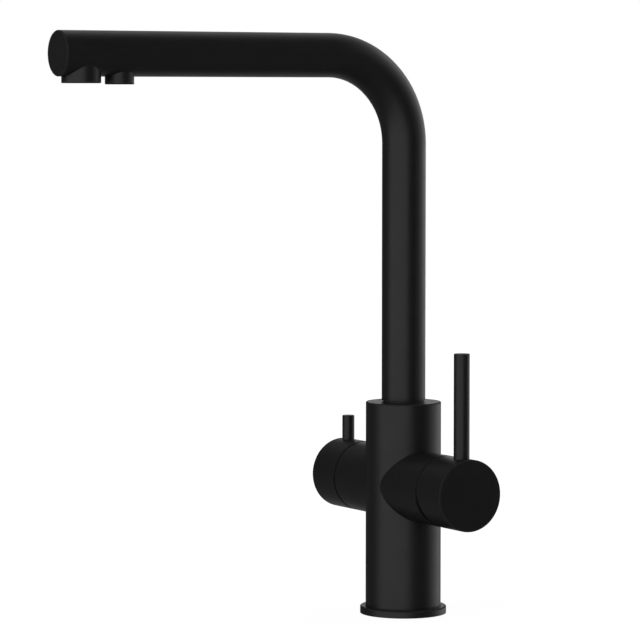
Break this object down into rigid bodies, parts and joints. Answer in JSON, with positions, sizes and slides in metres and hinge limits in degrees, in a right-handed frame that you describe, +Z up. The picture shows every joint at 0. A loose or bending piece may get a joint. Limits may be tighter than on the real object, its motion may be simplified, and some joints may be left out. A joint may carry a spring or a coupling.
{
  "type": "three way filtered water tap",
  "caption": "Tall swivel-spout kitchen tap with a hot and cold mixer lever, a quarter-turn filter lever and separate outlets for mixed and filtered water.",
  "frame": {"origin": "centre of the round foot, in the plane where it stands on the worktop", "axes": "+Z up, the spout reaches along -Y, the mixer lever is on +X and the filter lever on -X"},
  "size_m": [0.1558, 0.2726, 0.3708],
  "materials": {
    "black_coat": "matte black coat over brass or steel",
    "black_rubber": "moulded black rubber",
    "dark_plastic": "black moulded plastic",
    "pale_plastic": "off-white moulded plastic",
    "white_ceramic": "ground and lapped white ceramic",
    "bare_brass": "machined brass",
    "bare_steel": "machined stainless steel",
    "hose_rubber": "translucent food-grade silicone"
  },
  "bodies": {
    "tap_body": {"main_body": "black_coat", "foot_block": "black_coat", "foot_screws": "bare_steel", "inlet_seals": "black_rubber", "base_flange": "black_coat", "base_gasket": "black_rubber", "glide_ring": "dark_plastic", "spout_lock_screw": "bare_steel", "cartridge_base": "pale_plastic", "cartridge_port_seals": "black_rubber", "cartridge_housing": "pale_plastic", "mixer_fixed_disc": "white_ceramic", "cartridge_nut": "bare_brass", "cartridge_cover": "black_coat", "filter_valve_body": "bare_brass", "filter_seat_seal": "black_rubber", "filter_fixed_disc": "white_ceramic"},
    "spout": {"spout_tube": "black_coat", "spout_end_cap": "black_coat", "spout_spigot": "bare_brass", "spigot_seals": "black_rubber", "filter_riser": "bare_brass", "riser_seal": "black_rubber", "filtered_water_hose": "hose_rubber", "hose_ferrules": "bare_steel", "main_outlet_collar": "black_coat", "filter_outlet_collar": "black_coat", "main_aerator_housing": "dark_plastic", "main_aerator_grid": "dark_plastic", "main_aerator_core": "pale_plastic", "main_aerator_seal": "black_rubber", "filter_aerator_housing": "dark_plastic", "filter_aerator_grid": "dark_plastic", "filter_aerator_seal": "black_rubber", "filter_nozzle": "bare_brass", "nozzle_seal": "black_rubber"},
    "mixer_turret": {"mixer_rotor": "pale_plastic", "stem_pin": "bare_steel"},
    "mixer_slide": {"disc_carrier": "pale_plastic", "mixer_moving_disc": "white_ceramic"},
    "mixer_lever": {"mixer_stem": "bare_brass", "mixer_handle": "black_coat", "mixer_lever_rod": "black_coat", "mixer_grub_screw": "bare_steel"},
    "filter_lever": {"filter_spindle": "bare_brass", "filter_moving_disc": "white_ceramic", "spindle_seals": "black_rubber", "spindle_clip": "bare_steel", "filter_handle": "black_coat", "filter_lever_rod": "black_coat", "filter_grub_screw": "bare_steel"}
  },
  "joints": [
    {"name": "spout_swivel", "type": "hinge", "parent": "tap_body", "child": "spout", "pos_m": [0, 0, 0.1357], "axis": [0, 0, 1], "continuous": true},
    {"name": "mixer_temperature", "type": "hinge", "parent": "tap_body", "child": "mixer_turret", "pos_m": [0.046, 0, 0.083], "axis": [1, 0, 0], "range_deg": [-45, 45]},
    {"name": "mixer_flow", "type": "hinge", "parent": "mixer_turret", "child": "mixer_lever", "pos_m": [0.046, 0, 0.083], "axis": [0, 1, 0], "range_deg": [0, 15]},
    {"name": "disc_slide", "type": "slide", "parent": "mixer_turret", "child": "mixer_slide", "axis": [0, 0, 1], "range_m": [0, 0.0022]},
    {"name": "filter_turn", "type": "hinge", "parent": "tap_body", "child": "filter_lever", "pos_m": [-0.0688, 0, 0.083], "axis": [1, 0, 0], "range_deg": [0, 90]}
  ],
  "couplings": [
    {"joint": "disc_slide", "follows": "mixer_flow", "m_per_rad": 0.0082}
  ]
}
